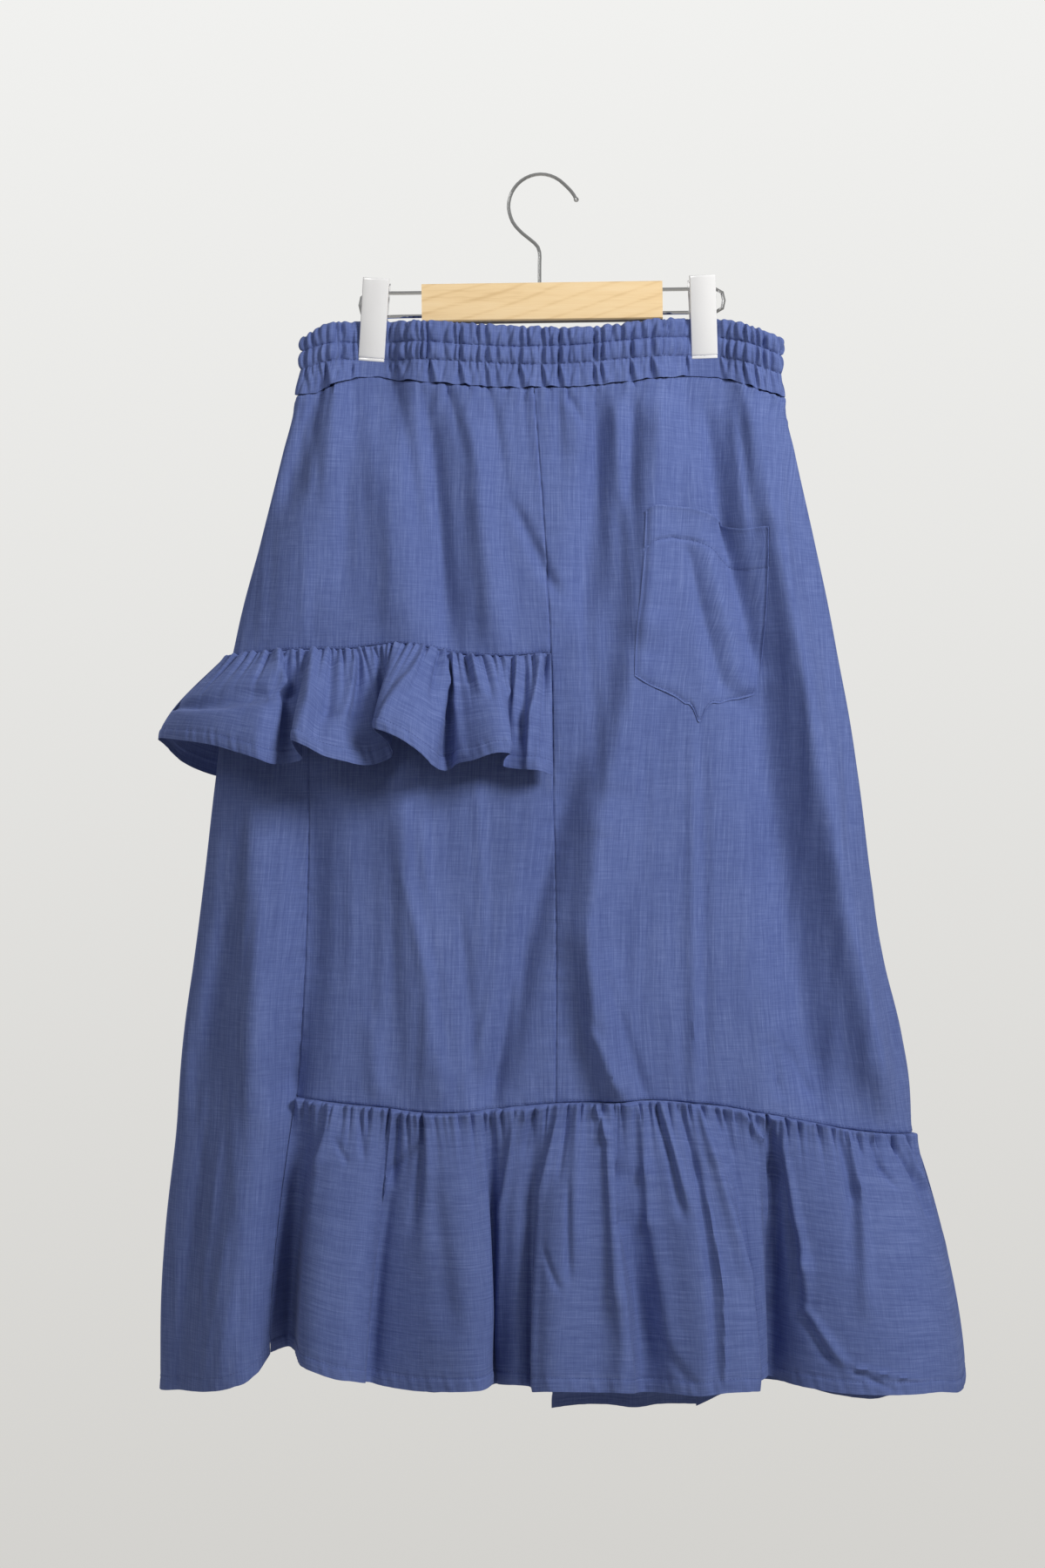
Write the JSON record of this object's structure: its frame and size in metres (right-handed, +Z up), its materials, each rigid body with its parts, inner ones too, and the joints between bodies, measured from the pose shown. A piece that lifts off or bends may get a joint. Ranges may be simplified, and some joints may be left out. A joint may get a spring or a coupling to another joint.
{
  "type": "asymmetrical skirt on a clip hanger",
  "caption": "Midi skirt with elastic waistband, hip ruffle, patch pocket and uneven ruffled hem, held by a wooden clip hanger",
  "frame": {"origin": "under the crown of the hanger's hook, where a rail carries it", "axes": "+Z up, -Y out of the skirt's front, +X to the right of someone who faces the front"},
  "size_m": [0.6476, 0.1647, 1.0058],
  "materials": {
    "chambray": "matt woven cotton",
    "maple": "satin varnish",
    "chrome_wire": "polished",
    "clip_steel": "bright satin plate"
  },
  "bodies": {
    "root": {"waistband_front": "chambray", "waistband_back": "chambray", "front_left_yoke": "chambray", "front_side_panel": "chambray", "front_middle_panel": "chambray", "front_right_panel": "chambray", "back_right_panel": "chambray", "back_left_yoke": "chambray", "back_left_panel": "chambray", "hem_ruffle_front": "chambray", "hem_ruffle_back": "chambray", "hip_ruffle_front": "chambray", "hip_ruffle_back": "chambray", "patch_pocket": "chambray", "hanger_bar": "maple", "hanger_loop_left": "chrome_wire", "hanger_loop_right": "chrome_wire", "hanger_hook": "chrome_wire", "clip_left_front_plate": "clip_steel", "clip_left_back_plate": "clip_steel", "clip_left_spring": "chrome_wire", "clip_right_front_plate": "clip_steel", "clip_right_back_plate": "clip_steel", "clip_right_spring": "chrome_wire"}
  },
  "joints": []
}
